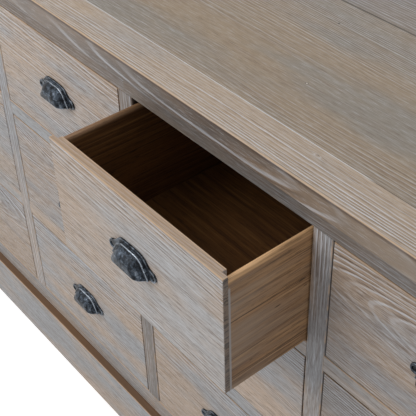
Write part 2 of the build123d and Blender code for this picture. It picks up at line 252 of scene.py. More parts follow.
def buildLimewash(rings):
    ins = {**ringLook, "Lime": 0.7, "Warmth": 0.5, "Fibre": 0.7, "Tan": list(tint(194, 172, 152)),
           "Grey": list(tint(168, 169, 172)), "Edge": 0.0, "Ends": 0.0, "Above": 0.0, "Above Share": 0.72,
           "Above Tint": list(tint(150, 124, 98))}
    tree, given, out = newGroup("limewash", ins, surfaceOuts)
    grain = put(tree, "ShaderNodeGroup", {label: given[label] for label in ringLook}, node_tree=rings).outputs
    lines, late, fibre = grain["Lime Line"], grain["Late Line"], grain["Fibre"]
    toGrey = minus(tree, grain["Patch"], calc(tree, "MULTIPLY_ADD", given["Warmth"], 0.3, -0.15))
    base = mix(tree, ramp(tree, toGrey, 0.38, 0.62), given["Tan"], given["Grey"])
    streaky = ramp(tree, grain["Streak"], 0.48, 0.66, 0.0, 0.65)
    powder = times(tree, ramp(tree, fibre, 0.5, 0.3), given["Fibre"])
    filled = calc(tree, "MINIMUM", plus(tree, lines, times(tree, powder, 0.9)), 1.0)
    inner = times(tree, given["Ends"], minus(tree, 1.0, given["Edge"]))
    layers = noise(tree, given["Vector"], (4.0, 330.0, 60.0), 17.0, 3.0, 0.6)
    endGrain = mix(tree, ramp(tree, layers, 0.42, 0.62), limeTints["endPale"], limeTints["endDark"])
    relief = minus(tree, times(tree, lines, 0.5), times(tree, fibre, 0.7))
    give(tree, out, {
        "Color": coat(
            tree, base,
            (times(tree, streaky, given["Fibre"]), limeTints["streak"]),
            (times(tree, ramp(tree, fibre, 0.5, 0.7), given["Fibre"]), limeTints["fibre"]),
            (times(tree, late, 0.6), limeTints["late"]),
            (times(tree, filled, given["Lime"]), limeTints["lime"]),
            (times(tree, grain["Knot"], 0.75), limeTints["knot"]),
            (times(tree, given["Above"], given["Above Share"]), given["Above Tint"]),
            (times(tree, given["Edge"], 0.9), limeTints["sanded"]),
            (times(tree, inner, 0.8), endGrain)),
        "Roughness": calc(tree, "MULTIPLY_ADD", fibre, 0.2, 0.52),
        "Height": minus(tree, relief, times(tree, late, 0.4)),
    })
    return tree


# unpainted brown wood of the drawer boxes and the inside
bareTints = {
    "late": tint(84, 54, 34), "streak": tint(80, 52, 34), "fibre": tint(70, 44, 27), "bright": tint(222, 186, 144),
}


def buildBareWood(rings):
    passed = {"Vector": (0.0, 0.0, 0.0), "Seed": 0.0, "Spacing": 0.006, "Wander": 0.02, "Heart": 0.3,
              "Slope": 0.02}
    ins = {**passed, "Honey": list(tint(186, 142, 98)), "Brown": list(tint(142, 106, 75))}
    tree, given, out = newGroup("bareWood", ins, surfaceOuts)
    grain = put(tree, "ShaderNodeGroup", {label: given[label] for label in passed}, node_tree=rings).outputs
    late, fibre, streak = grain["Late Line"], grain["Fibre"], grain["Streak"]
    base = mix(tree, ramp(tree, grain["Patch"], 0.4, 0.6), given["Honey"], given["Brown"])
    bright = plus(tree, times(tree, grain["Lime Line"], 0.4), ramp(tree, streak, 0.46, 0.34, 0.0, 0.55))
    give(tree, out, {
        "Color": coat(
            tree, base,
            (times(tree, late, 0.6), bareTints["late"]),
            (ramp(tree, streak, 0.5, 0.68, 0.0, 0.5), bareTints["streak"]),
            (ramp(tree, fibre, 0.5, 0.66, 0.0, 0.7), bareTints["fibre"]),
            (bright, bareTints["bright"])),
        "Roughness": calc(tree, "MULTIPLY_ADD", fibre, 0.2, 0.5),
        "Height": plus(tree, times(tree, late, -0.4), times(tree, fibre, -0.6)),
    })
    return tree


# pitted skin of a waxed iron casting: worn bright where it stands proud, with painted highlights and painted
# glints
ironTints = {
    "dark": tint(21, 24, 29), "blue": tint(66, 75, 86), "glint": tint(140, 152, 168), "pit": tint(12, 12, 14),
    "wornAndHighlit": tint(172, 182, 194),
}


def buildCastSkin():
    tree, given, out = newGroup("castSkin", {"Vector": (0.0, 0.0, 0.0), "Wear And Highlight": 0.5}, surfaceOuts)
    mottle = noise(tree, given["Vector"], (130.0, 130.0, 130.0), 4.0, 4.0, 0.65)
    grit = noise(tree, given["Vector"], (420.0, 420.0, 420.0), 9.0, 3.0, 0.6)
    iron = mix(tree, ramp(tree, mottle, 0.4, 0.62), ironTints["dark"], ironTints["blue"])
    # painted glints: light specks scattered over the mottled skin
    glint = times(tree, ramp(tree, grit, 0.4, 0.3), ramp(tree, mottle, 0.42, 0.6))
    hollow = times(tree, ramp(tree, grit, 0.52, 0.66), ramp(tree, mottle, 0.36, 0.54))
    spotty = plus(tree, times(tree, mottle, 0.6), times(tree, grit, 0.4))
    raised = plus(tree, given["Wear And Highlight"], times(tree, minus(tree, spotty, 0.5), 0.8))
    # worn bright where proud, and painted highlight where the bead and shoulder face the light
    wornAndHighlit = ramp(tree, raised, 0.5, 0.85)
    sunk = ramp(tree, given["Wear And Highlight"], 0.25, 0.05)
    dull = calc(tree, "MULTIPLY_ADD", hollow, 0.3, calc(tree, "MULTIPLY_ADD", mottle, -0.3, 0.52))
    give(tree, out, {
        "Color": coat(
            tree, iron,
            (times(tree, glint, 0.7), ironTints["glint"]),
            (times(tree, hollow, 0.85), ironTints["pit"]),
            (times(tree, wornAndHighlit, 0.9), ironTints["wornAndHighlit"]),
            (times(tree, sunk, 0.8), ironTints["pit"])),
        "Roughness": minus(tree, dull, times(tree, wornAndHighlit, 0.2)),
        "Height": minus(tree, calc(tree, "MULTIPLY_ADD", grit, 0.3, mottle), hollow),
    })
    return tree


ringGroup = buildGrowthRings()
arrisGroup = buildArris()
limeGroup = buildLimewash(ringGroup)
bareGroup = buildBareWood(ringGroup)
castGroup = buildCastSkin()
print("finishes built")

turns = {  # turns that bring a board's grain onto x and its broad face onto x and y
    "alongTop": (0, 0, 0),
    "alongFront": (90, 0, 0),
    "upFront": (90, 0, 90),
    "alongSide": (0, 0, -90),
    "upSide": (0, 90, 0),
}
bumps = {"limed": 0.0008, "bare": 0.0006, "iron": 0.0006, "strength": 0.6}


def startMaterial(name):
    material = bpy.data.materials.new(name)
    material.use_nodes = True
    tree = material.node_tree
    tree.nodes.clear()
    return material, tree


def objectCoords(tree):
    return put(tree, "ShaderNodeTexCoord").outputs["Object"]


def turnedPlace(tree, coords, turn, centre):
    rotation = Euler([math.radians(angle) for angle in turns[turn]])
    moved = rotation.to_matrix() @ Vector(centre)
    inputs = {"Vector": coords, "Rotation": rotation, "Location": -moved}
    return put(tree, "ShaderNodeMapping", inputs).outputs[0]


def finishWith(tree, group, color, bumpDistance, metallic=0.0):
    bump = put(tree, "ShaderNodeBump", {"Height": group.outputs["Height"], "Strength": bumps["strength"],
                                        "Distance": bumpDistance})
    shader = put(tree, "ShaderNodeBsdfPrincipled", {"Base Color": color, "Metallic": metallic,
                                                    "Roughness": group.outputs["Roughness"],
                                                    "Normal": bump.outputs[0]})
    tree.links.new(shader.outputs[0], put(tree, "ShaderNodeOutputMaterial").inputs[0])


def setMaterial(obj, material):
    obj.data.materials.clear()
    obj.data.materials.append(material)


# in a look, keys with a capital are sockets of limewash, and these go to sockets of arrisWear
arrisKeys = {"arris": "Width", "sides": "Sides", "tongue": "Seam", "seamWidth": "Seam Width"}
boardLook = {
    "columnSeed": 3.7, "seamOpening": 0.02,
    "edgeLeft": tint(172, 163, 156), "edgeRight": tint(182, 162, 142), "edgeLine": tint(78, 56, 42),
    "seamLime": tint(222, 227, 233), "seamOpen": tint(30, 25, 22), "gap": tint(40, 28, 19),
}


def limeSockets(look):
    return {label: value for label, value in look.items() if label[0].isupper()}


# front edge of the top: its own figure, paler towards both ends, dark just under the arris
def frontEdgeColor(tree, place, across, drop, look):
    face = put(tree, "ShaderNodeGroup", {**limeSockets(look), "Vector": place}, node_tree=limeGroup)
    line = band(tree, drop, 0.0006, 0.0014, 0.0022, 0.0062)
    return coat(tree, face.outputs["Color"],
                (ramp(tree, across, 0.35, -0.35, 0.0, 0.42), boardLook["edgeLeft"]),
                (ramp(tree, across, 0.22, 0.52, 0.0, 0.5), boardLook["edgeRight"]),
                (times(tree, line, 0.7), boardLook["edgeLine"]))


def limewashNode(node, turn, seed, look):
    material, tree = startMaterial("limewash_" + node)
    coords = objectCoords(tree)
    parts = parted(tree, coords)
    low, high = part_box(node)
    centre = (low + high) / 2
    edges = {"Vector": coords, "Low": low, "High": high}
    edges.update({label: look[key] for key, label in arrisKeys.items() if key in look})
    arris = put(tree, "ShaderNodeGroup", edges, node_tree=arrisGroup).outputs
    place = turnedPlace(tree, coords, turn, centre)
    inputs = {**limeSockets(look), "Vector": place, "Seed": seed, "Edge": arris["Edge"]}
    if look.get("ends"):
        inputs["Ends"] = arris["Ends"]
    if "Above Tint" in look:
        inputs["Above"] = arris["Above"]
    if "columns" in look:  # a grain of its own in every column of this width
        column = calc(tree, "FLOOR", calc(tree, "DIVIDE", parts[0], look["columns"]))
        inputs["Seed"] = calc(tree, "MULTIPLY_ADD", column, boardLook["columnSeed"], seed)
    lime = put(tree, "ShaderNodeGroup", inputs, node_tree=limeGroup)
    color = lime.outputs["Color"]
    if "faceLook" in look:
        onFace = times(tree, arris["Face"], ramp(tree, arris["Drop"], 0.0004, 0.0012))
        facePlace = turnedPlace(tree, coords, "alongFront", centre)
        face = frontEdgeColor(tree, facePlace, parts[0], arris["Drop"], look["faceLook"])
        color = mix(tree, onFace, color, face)
    if "seamOpens" in look:  # lime left along the joint to the board behind, until the joint opens
        opened = ramp(tree, parts[0], look["seamOpens"], look["seamOpens"] + boardLook["seamOpening"])
        filler = mix(tree, opened, boardLook["seamLime"], boardLook["seamOpen"])
        color = mix(tree, times(tree, arris["Back"], 0.85), color, filler)
    for (x, y), radius, shade in look.get("marks", ()):  # nail heads and nicks
        apart = distance(tree, minus(tree, parts[0], x), minus(tree, parts[1], y))
        color = mix(tree, fall(tree, apart, radius * 0.5, radius, 0.8), color, shade)
    if look.get("gaps"):  # painted shade in the gaps beside the drawers, laid over the wood that the wash leaves bare there
        color = mix(tree, times(tree, arris["Inward"], 0.9), color, boardLook["gap"])
    finishWith(tree, lime, color, bumps["limed"])
    setMaterial(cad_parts[node], material)


def bareNode(node, turn, seed, look):
    material, tree = startMaterial("bare_" + node)
    low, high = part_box(node)
    place = turnedPlace(tree, objectCoords(tree), turn, (low + high) / 2)
    wood = put(tree, "ShaderNodeGroup", {**look, "Vector": place, "Seed": seed}, node_tree=bareGroup)
    finishWith(tree, wood, wood.outputs["Color"], bumps["bare"])
    setMaterial(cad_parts[node], material)


frontLook = {
    "arris": 0.0008, "sides": 0.12, "Spacing": 0.0042, "Wander": 0.006, "Heart": 0.12, "Lime": 0.65, "Fibre": 0.75,
    "Upper": 1.1, "ends": True, "Above Tint": tint(178, 148, 119),
}
figuredFront = {  # flame figure; its darker tan and grey are painted shade, set for the open drawer's shadow on d1 and shared by a3 and b2
    "Spacing": 0.0036, "Offset": 0.045, "Heart": 0.05, "Lime": 0.65, "Lines": 1.2, "Tan": tint(180, 158, 138),
    "Grey": tint(157, 156, 158), "Wander": 0.014, "Warmth": 0.6, "Slope": 0.1,
}
stileLook = {
    "arris": 0.0018, "sides": 0.9, "gaps": True, "Spacing": 0.0056, "Wander": 0.003, "Heart": 0.12, "Slope": 0.006,
    "Lime": 0.75, "Lines": 1.3, "Warmth": 0.3, "Grey": tint(156, 155, 157),
}
# painted shade: the centre stile darker, for the shadow of the open drawer on it
shadedStileLook = {**stileLook, "Tan": tint(150, 137, 127), "Grey": tint(127, 123, 121), "Lime": 0.4}
panelLook = {
    **stileLook, "gaps": False, "Tan": tint(182, 166, 150), "Lime": 0.55, "Wander": 0.012, "Spacing": 0.006,
    "Offset": 0.05, "Warmth": 0.45,
}
railLook = {
    "arris": 0.0014, "sides": 0.6, "gaps": True, "Spacing": 0.005, "Wander": 0.006, "Heart": 0.09, "Slope": 0.02,
    "Lime": 0.5, "Warmth": 0.4, "columns": 0.381,
}
# painted shade: the bottom rail a little darker, for the shade low on the front
shadedBottomRailLook = {**railLook, "Tan": tint(176, 157, 140), "Grey": tint(152, 152, 154), "columns": 4.0}
# painted shade: the top rail darker and with less lime, for the shadow under the top's overhang
shadedTopRailLook = {**railLook, "Tan": tint(128, 114, 102), "Grey": tint(120, 117, 116), "Lime": 0.35, "columns": 4.0}
topLook = {
    "arris": 0.0001, "sides": 0.0, "Spacing": 0.0042, "Wander": 0.01, "Heart": 0.1, "Offset": 0.26, "Slope": 0.012,
    "Lime": 0.42, "Warmth": 0.55, "Fibre": 0.4, "Tan": tint(154, 135, 112), "Grey": tint(140, 132, 121),
    "ends": True,
}
topFrontLook = {
    **topLook, "arris": 0.0022, "sides": 1.0, "Lime": 0.75, "Lines": 0.4, "Warmth": 0.75,
    "Tan": tint(182, 161, 139), "Grey": tint(164, 156, 149), "Offset": -0.07, "Spacing": 0.0036,
    "Heart": 0.03, "Slope": 0.01, "Wander": 0.005,
    "Upper": 0.8, "Upper Edge": 0.0, "Knot": (0.34, 0.0134, 0.0), "Knot Size": 0.003,
    "tongue": 8 * mm, "seamOpens": 0.4,
    "faceLook": {
        "Seed": 67.0, "Spacing": 0.011, "Wander": 0.02, "Heart": 0.052, "Offset": 0.004, "Slope": -0.1,
        "Lime": 0.6, "Lines": 1.3, "Fibre": 0.6, "Warmth": 0.6, "Tan": tint(146, 122, 100),
        "Grey": tint(98, 91, 87),
    },
}
topMiddleLook = {
    **topLook, "Offset": 0.05, "Heart": 0.06, "Slope": 0.014, "Wander": 0.009, "Spacing": 0.0033, "Fibre": 0.5,
    "Lines": 0.7, "tongue": 8 * mm, "seamOpens": -1.0, "seamWidth": 0.0052,
    "marks": (  # place, radius, shade
        ((0.2257, -0.0937), 3 * mm, tint(96, 84, 72)),
        ((0.2257, -0.0937), 1.5 * mm, tint(226, 216, 204)),
        ((0.1468, 0.0415), 2.2 * mm, tint(60, 50, 44)),
    ),
}
# painted shade: the back board of the top darker, as the light falls off towards the back
shadedTopBackLook = {**topLook, "Tan": tint(138, 127, 117), "Grey": tint(126, 122, 119)}
plinthLook = {
    "arris": 0.0016, "sides": 0.5, "Spacing": 0.005, "Wander": 0.008, "Heart": 0.1, "Slope": 0.02, "Lime": 0.45,
    "Warmth": 0.4, "Above Share": 0.94, "Above Tint": tint(113, 80, 50),
}
backLook = {"Honey": tint(168, 132, 96), "Brown": tint(158, 122, 88), "Spacing": 0.009, "Wander": 0.03}

# drawer fronts: three settings taken in turn, then what single fronts have of their own
frontSlopes = (0.03, -0.025, 0.02, -0.035, 0.04)
frontWarmths = [0.38 + 0.05 * turn for turn in range(4)]
frontOffsets = (0.17, -0.2, 0.15)
shadedAbove = tint(74, 55, 40)
ownLooks = {
    "a2": {"Tan": tint(180, 162, 146), "Grey": tint(160, 161, 164)},
    "a3": figuredFront,
    "b2": figuredFront,
    "c1": {"arris": 0.0016, "Grey": tint(189, 187, 187)},
    "c2": {"Tan": tint(205, 182, 162), "Grey": tint(178, 178, 180), "Above Tint": shadedAbove},
    "c3": {"Upper": 0.25, "Lines": 0.5, "Warmth": 0.62, "Tan": tint(190, 168, 148), "Above Tint": shadedAbove},
    "d1": {**figuredFront, "Slope": -0.1},
    "d2": {"Tan": tint(178, 156, 138), "Grey": tint(154, 149, 146), "Above Tint": shadedAbove},
}
for index, name in enumerate(drawerNames):
    look = {**frontLook, "Slope": frontSlopes[index % 5], "Warmth": frontWarmths[index % 4],
            "Offset": frontOffsets[index % 3], **ownLooks.get(name, {})}
    limewashNode(f"drawer_{name}_front", "alongFront", 2.0 + 1.37 * index, look)

limedBoards = (  # turn, first seed, step from seed to seed, look of every node
    ("upFront", 31.0, 2.1, {"left_end_stile": stileLook, "right_end_stile": stileLook, "left_stile": stileLook,
                            "centre_stile": shadedStileLook, "right_stile": stileLook}),
    ("upSide", 41.0, 2.1, {"left_end_panel": panelLook, "right_end_panel": panelLook}),
    ("alongFront", 51.0, 2.1, {"top_rail": shadedTopRailLook, "bottom_rail": shadedBottomRailLook,
                               "divider_rails": railLook}),
    ("alongTop", 61.0, 3.4, {"top_front_board": topFrontLook, "top_middle_board": topMiddleLook,
                             "top_back_board": shadedTopBackLook}),
    ("alongFront", 71.0, 0.0, {"plinth_front": plinthLook}),
    ("alongSide", 73.1, 0.0, {"plinth_sides": plinthLook}),
)
bareBoards = (
    ("alongFront", 81.0, 2.1, {"back_panel": backLook, "plinth_back": backLook}),
    ("alongTop", 85.2, 2.1, {"top_kickers": {}, "floor_board": {}}),
    ("alongSide", 95.0, 2.1, {"left_partition": {}, "centre_partition": {}, "right_partition": {},
                              "plinth_braces": {}, "drawer_runners": {}}),
)
for finish, boards in ((limewashNode, limedBoards), (bareNode, bareBoards)):
    for turn, seed, step, looks in boards:
        for index, (node, look) in enumerate(looks.items()):
            finish(node, turn, seed + step * index, look)
print("boards finished")

# drawer boxes: sides with their grain along the drawer, painted shade inside, a limewash smear behind the front
boxLook = {
    "sideFrom": 162.5 * mm, "outer": 172.6 * mm, "inner": 168.6 * mm, "smear": 10.8 * mm, "smearFade": 0.8 * mm,
    "glueLines": (0.37, 0.91), "glueWave": 0.006,
    "knots": (  # along the side, up, length
        (74 * mm, 93.5 * mm, 7 * mm), (112 * mm, 112 * mm, 9 * mm), (118 * mm, 99 * mm, 5 * mm),
        (33 * mm, 31 * mm, 4 * mm),
    ),
    "knotHeight": 0.22,
    "fleck": tint(66, 42, 25), "streak": tint(206, 166, 120), "hazeAndLight": tint(180, 157, 136),
    "glue": tint(70, 44, 28), "knot": tint(58, 34, 20), "inside": tint(170, 148, 112),
    "roundTop": tint(236, 190, 140), "wash": tint(186, 184, 184),
}


def drawerBoxMaterial(name, seed):
    node = f"drawer_{name}_box"
    material, tree = startMaterial("bare_" + node)
    coords = objectCoords(tree)
    parts = parted(tree, coords)
    low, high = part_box(node)
    centre = (low + high) / 2
    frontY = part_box(f"drawer_{name}_front")[0].y
    aside = minus(tree, parts[0], centre.x)
    fromMiddle = calc(tree, "ABSOLUTE", aside)
    fromFront = minus(tree, parts[1], frontY)
    toTop = minus(tree, high.z, parts[2])
    isSide = calc(tree, "GREATER_THAN", fromMiddle, boxLook["sideFrom"])
    outside = calc(tree, "GREATER_THAN", fromMiddle, boxLook["outer"])
    lengthwise = turnedPlace(tree, coords, "alongSide", centre)
    crosswise = turnedPlace(tree, coords, "alongTop", centre)
    place = put(tree, "ShaderNodeMix", {0: isSide, 4: crosswise, 5: lengthwise}, data_type="VECTOR").outputs[1]
    wood = put(tree, "ShaderNodeGroup", {"Vector": place, "Seed": seed}, node_tree=bareGroup)
    fine = noise(tree, coords, (330.0, 9.0, 330.0), seed + 9.0, 3.0, 0.6)
    dust = noise(tree, coords, (1.0, 5.0, 60.0), seed + 5.0, 4.0)
    nearFront = fall(tree, fromFront, 0.015, 0.12, 0.42)  # lighter towards the front: limewash haze, and painted light where less shadow falls
    lightAndHazeNearFront = times(tree, nearFront, ramp(tree, dust, 0.36, 0.62, 0.3, 1.5))
    hazeAndLight = plus(tree, ramp(tree, dust, 0.46, 0.66, 0.0, 0.2), lightAndHazeNearFront)
    color = coat(tree, wood.outputs["Color"],
                 (times(tree, outside, ramp(tree, fine, 0.52, 0.64, 0.0, 0.6)), boxLook["fleck"]),
                 (times(tree, outside, ramp(tree, fine, 0.47, 0.36, 0.0, 0.5)), boxLook["streak"]),
                 (times(tree, outside, hazeAndLight), boxLook["hazeAndLight"]))
    for share in boxLook["glueLines"]:  # between the strips of a side
        level = high.z - share * (high.z - low.z)
        drift = minus(tree, noise(tree, coords, (1.0, 9.0, 1.0), seed + share), 0.5)
        line = plus(tree, parts[2], times(tree, drift, boxLook["glueWave"]))
        away = calc(tree, "ABSOLUTE", minus(tree, line, level))
        color = mix(tree, times(tree, isSide, fall(tree, away, 0.0003, 0.0011, 0.75)), color, boxLook["glue"])
    for along, level, length in boxLook["knots"]:
        beside = calc(tree, "DIVIDE", minus(tree, parts[1], low.y + along), length)
        above = calc(tree, "DIVIDE", minus(tree, parts[2], low.z + level), length * boxLook["knotHeight"])
        apart = distance(tree, beside, above)
        color = mix(tree, times(tree, isSide, fall(tree, apart, 0.3, 1.0, 0.8)), color, boxLook["knot"])
    # painted shade: the inner faces of the box darkened brown below the top edge
    within = calc(tree, "LESS_THAN", fromMiddle, boxLook["inner"])
    shadedInside = mix(tree, 1.0, color, boxLook["inside"], "MULTIPLY")
    bare = times(tree, fall(tree, toTop, 0.0035, 0.0056, 0.85), ramp(tree, fine, 0.42, 0.58, 1.0, 0.25))
    onRight = ramp(tree, aside, -0.1, 0.1, 0.15, 1.0)  # the pale top is much fainter on the left side
    smearFrom = boxLook["smear"] - boxLook["smearFade"]
    smear = times(tree, outside, fall(tree, fromFront, smearFrom, boxLook["smear"], 0.8))
    washed = coat(tree, color,
                  (times(tree, within, ramp(tree, toTop, 0.003, 0.009)), shadedInside),
                  (times(tree, times(tree, isSide, onRight), bare), boxLook["roundTop"]),
                  (times(tree, smear, ramp(tree, toTop, 0.009, 0.014)), boxLook["wash"]))
    finishWith(tree, wood, washed, bumps["bare"])
    setMaterial(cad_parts[node], material)


for index, name in enumerate(drawerNames):
    drawerBoxMaterial(name, 110.0 + 1.9 * index)
print("drawer boxes finished")

# cast cup pull, modelled once about its own middle and copied to every drawer
pullLook = {
    "halfWidth": 48.5 * mm, "low": -6 * mm, "earTop": 8 * mm, "earRound": 6.7 * mm, "plate": 3 * mm,
    "knee": (36.5 * mm, 10.5 * mm), "kneeRound": 5 * mm, "shoulder": (24 * mm, 24 * mm), "shoulderRound": 5 * mm,
    "crest": 26 * mm, "crestRound": 14 * mm,
    "cupWidth": 75 * mm, "crownWidth": 43 * mm, "lipWidth": 58 * mm, "rise": 21 * mm, "drop": 6 * mm,
    "proud": 18.5 * mm, "wall": 2.4 * mm, "browDrop": 9 * mm, "browRound": 9 * mm, "cheekRound": 9 * mm,
    "hollowReach": 4 * mm, "bead": 1.8 * mm, "beadProud": 6 * mm, "beadRadius": 1.5 * mm, "beadLift": 0.5 * mm,
    "earX": 42 * mm, "earZ": 1 * mm, "hole": 3.5 * mm, "holeIn": 0.8 * mm, "holeOut": 0.6 * mm,
    "holeDepth": 5 * mm, "voxel": 0.6 * mm, "softened": 7, "thinned": 0.28,
}
screwLook = {
    "radius": 3.1 * mm, "depth": 1.7 * mm, "middle": -0.9 * mm, "rounded": 0.7 * mm,
    "slot": (8 * mm, 1.4 * mm, 0.8 * mm), "slotMiddle": -1.7 * mm, "slotTurn": 0.5,
}
quarterTurn = math.radians(90)


def onlyActive(obj):
    bpy.ops.object.select_all(action="DESELECT")
    obj.select_set(True)
    bpy.context.view_layer.objects.active = obj


def pick(obj, kind, test):  # selects the vertices, edges or faces that pass the test
    bpy.ops.object.mode_set(mode="OBJECT")
    mesh = obj.data
    for collection in (mesh.vertices, mesh.edges, mesh.polygons):
        collection.foreach_set("select", [False] * len(collection))
    if kind == "VERT":
        for vertex in mesh.vertices:
            vertex.select = test(vertex.co)
    elif kind == "EDGE":
        for edge in mesh.edges:
            edge.select = test(*(mesh.vertices[end].co for end in edge.vertices))
    else:
        for face in mesh.polygons:
            face.select = test(face.center, face.normal)
    bpy.ops.object.mode_set(mode="EDIT")
    bpy.ops.mesh.select_mode(type=kind)


def applyModifier(obj, name, kind, **settings):
    onlyActive(obj)
    modifier = obj.modifiers.new(name, kind)
    for key, value in settings.items():
        setattr(modifier, key, value)
    bpy.ops.object.modifier_apply(modifier=name)


def settle(obj):  # place, turn and size go into the mesh
    onlyActive(obj)
    bpy.ops.object.transform_apply(location=True, rotation=True, scale=True)


def modelBackplate():
    look = pullLook
    knee, shoulder = look["knee"], look["shoulder"]
    height = look["earTop"] - look["low"]
    middle = (0, 0, look["low"] + height / 2)
    bpy.ops.mesh.primitive_plane_add(size=1, location=middle, rotation=(quarterTurn, 0, 0))
    plate = bpy.context.object
    plate.scale = (2 * look["halfWidth"], height, 1)
    settle(plate)
    pick(plate, "EDGE", lambda one, two: min(one.z, two.z) > look["earTop"] - mm)
    bpy.ops.mesh.subdivide(number_cuts=5)  # points at sixths of the upper edge
    step = look["halfWidth"] / 3

    def movePoint(x, newX, newZ):
        pick(plate, "VERT", lambda co: abs(co.x - x) < mm and co.z > 0)
        bpy.ops.transform.translate(value=(newX - x, 0, newZ - look["earTop"]))

    def roundPoints(radius, segments, test):
        pick(plate, "VERT", test)
        bpy.ops.mesh.bevel(offset=radius, segments=segments, affect="VERTICES")

    for hand in (-1, 1):
        movePoint(hand * 2 * step, hand * knee[0], knee[1])
        movePoint(hand * step, hand * shoulder[0], shoulder[1])
    movePoint(0, 0, look["crest"])
    roundPoints(look["crestRound"], 6, lambda co: abs(co.x) < mm and co.z > 0)
    roundPoints(look["shoulderRound"], 4, lambda co: abs(abs(co.x) - shoulder[0]) < mm and co.z > 20 * mm)
    roundPoints(look["kneeRound"], 5, lambda co: abs(abs(co.x) - knee[0]) < mm and co.z > 0)
    roundPoints(look["earRound"], 8, lambda co: abs(co.x) > look["halfWidth"] - mm)
    bpy.ops.mesh.select_all(action="SELECT")
    bpy.ops.mesh.extrude_region_move(TRANSFORM_OT_translate={"value": (0, -look["plate"], 0)})
    bpy.ops.mesh.select_all(action="SELECT")
    bpy.ops.mesh.normals_make_consistent(inside=False)
    bpy.ops.object.mode_set(mode="OBJECT")
    return plate


def modelCupForm(grow, back, bottom):  # a closed cup, larger all round by grow
    look = pullLook
    top = look["rise"] + grow
    proud = look["proud"] + grow
    low = -look["drop"] - bottom
    width = look["cupWidth"] + 2 * grow
    bpy.ops.mesh.primitive_cube_add(size=1, location=(0, (back - proud) / 2, (top + low) / 2))
    form = bpy.context.object
    form.scale = (width, proud + back, top - low)
    settle(form)
    pick(form, "VERT", lambda co: co.z > 0)
    bpy.ops.transform.resize(value=((look["crownWidth"] + 2 * grow) / width, 1, 1), center_override=(0, 0, 0))
    pick(form, "VERT", lambda co: co.y < -proud + mm)
    bpy.ops.transform.resize(value=(look["lipWidth"] / look["cupWidth"], 1, 1), center_override=(0, 0, 0))
    pick(form, "VERT", lambda co: co.y < -proud + mm and co.z > 0)
    bpy.ops.transform.translate(value=(0, 0, -look["browDrop"]))
    pick(form, "EDGE", lambda one, two: max(one.y, two.y) < -proud + mm and min(one.z, two.z) > 0)
    bpy.ops.mesh.bevel(offset=look["browRound"], segments=6, affect="EDGES")

    def onCheek(one, two):  # edges on one side that run up or forward, off the back and the bottom
        sameSide = min(abs(one.x), abs(two.x)) > 15 * mm and one.x * two.x > 0
        runs = abs(one.y - two.y) + abs(one.z - two.z) > 0.5 * mm
        return sameSide and runs and min(one.y, two.y) < -2 * mm and max(one.z, two.z) > low + mm

    pick(form, "EDGE", onCheek)
    bpy.ops.mesh.bevel(offset=look["cheekRound"], segments=7, affect="EDGES")
    bpy.ops.object.mode_set(mode="OBJECT")
    return form


def joinSolid(obj, other, operation):
    applyModifier(obj, operation.lower(), "BOOLEAN", object=other, operation=operation, solver="EXACT")
    bpy.data.objects.remove(other)


def modelPull():
    look = pullLook
    pull = modelBackplate()
    for hand in (-1, 1):  # screw holes
        bpy.ops.mesh.primitive_cone_add(vertices=24, radius1=look["hole"] - look["holeIn"],
                                        radius2=look["hole"] + look["holeOut"], depth=look["holeDepth"],
                                        location=(hand * look["earX"], -look["plate"] / 2, look["earZ"]),
                                        rotation=(quarterTurn, 0, 0))
        hole = bpy.context.object
        settle(hole)
        joinSolid(pull, hole, "DIFFERENCE")
    bead = modelCupForm(look["bead"], 0, -look["beadLift"])
    pick(bead, "VERT", lambda co: True)
    bpy.ops.mesh.bisect(plane_co=(0, -look["beadProud"], 0), plane_no=(0, 1, 0), use_fill=True, clear_inner=True)

    def onRim(one, two):
        inPlane = max(abs(one.y + look["beadProud"]), abs(two.y + look["beadProud"])) < 0.05 * mm
        return inPlane and max(one.z, two.z) > -look["drop"] + mm

    pick(bead, "EDGE", onRim)
    bpy.ops.mesh.duplicate()
    bpy.ops.mesh.separate(type="SELECTED")
    bpy.ops.object.mode_set(mode="OBJECT")
    rope = next(obj for obj in bpy.context.selected_objects if obj != bead)
    onlyActive(rope)
    bpy.ops.object.mode_set(mode="EDIT")
    bpy.ops.mesh.select_all(action="SELECT")
    bpy.ops.mesh.subdivide(number_cuts=9)
    bpy.ops.object.mode_set(mode="OBJECT")
    beadLine = [vertex.co.copy() for vertex in rope.data.vertices]
    bpy.ops.object.convert(target="CURVE")
    rope.data.bevel_depth = look["beadRadius"]
    rope.data.use_fill_caps = True
    bpy.ops.object.convert(target="MESH")
    joinSolid(pull, bead, "UNION")
    joinSolid(pull, rope, "UNION")
    joinSolid(pull, modelCupForm(0, 0, 0), "UNION")
    hollow = modelCupForm(-look["wall"], look["hollowReach"], look["hollowReach"])
    joinSolid(pull, hollow, "DIFFERENCE")
    applyModifier(pull, "cast", "REMESH", mode="VOXEL", voxel_size=look["voxel"])
    applyModifier(pull, "soften", "SMOOTH", factor=0.5, iterations=look["softened"])
    applyModifier(pull, "thin", "DECIMATE", ratio=look["thinned"])
    onlyActive(pull)
    bpy.ops.object.shade_smooth()
    return pull, beadLine


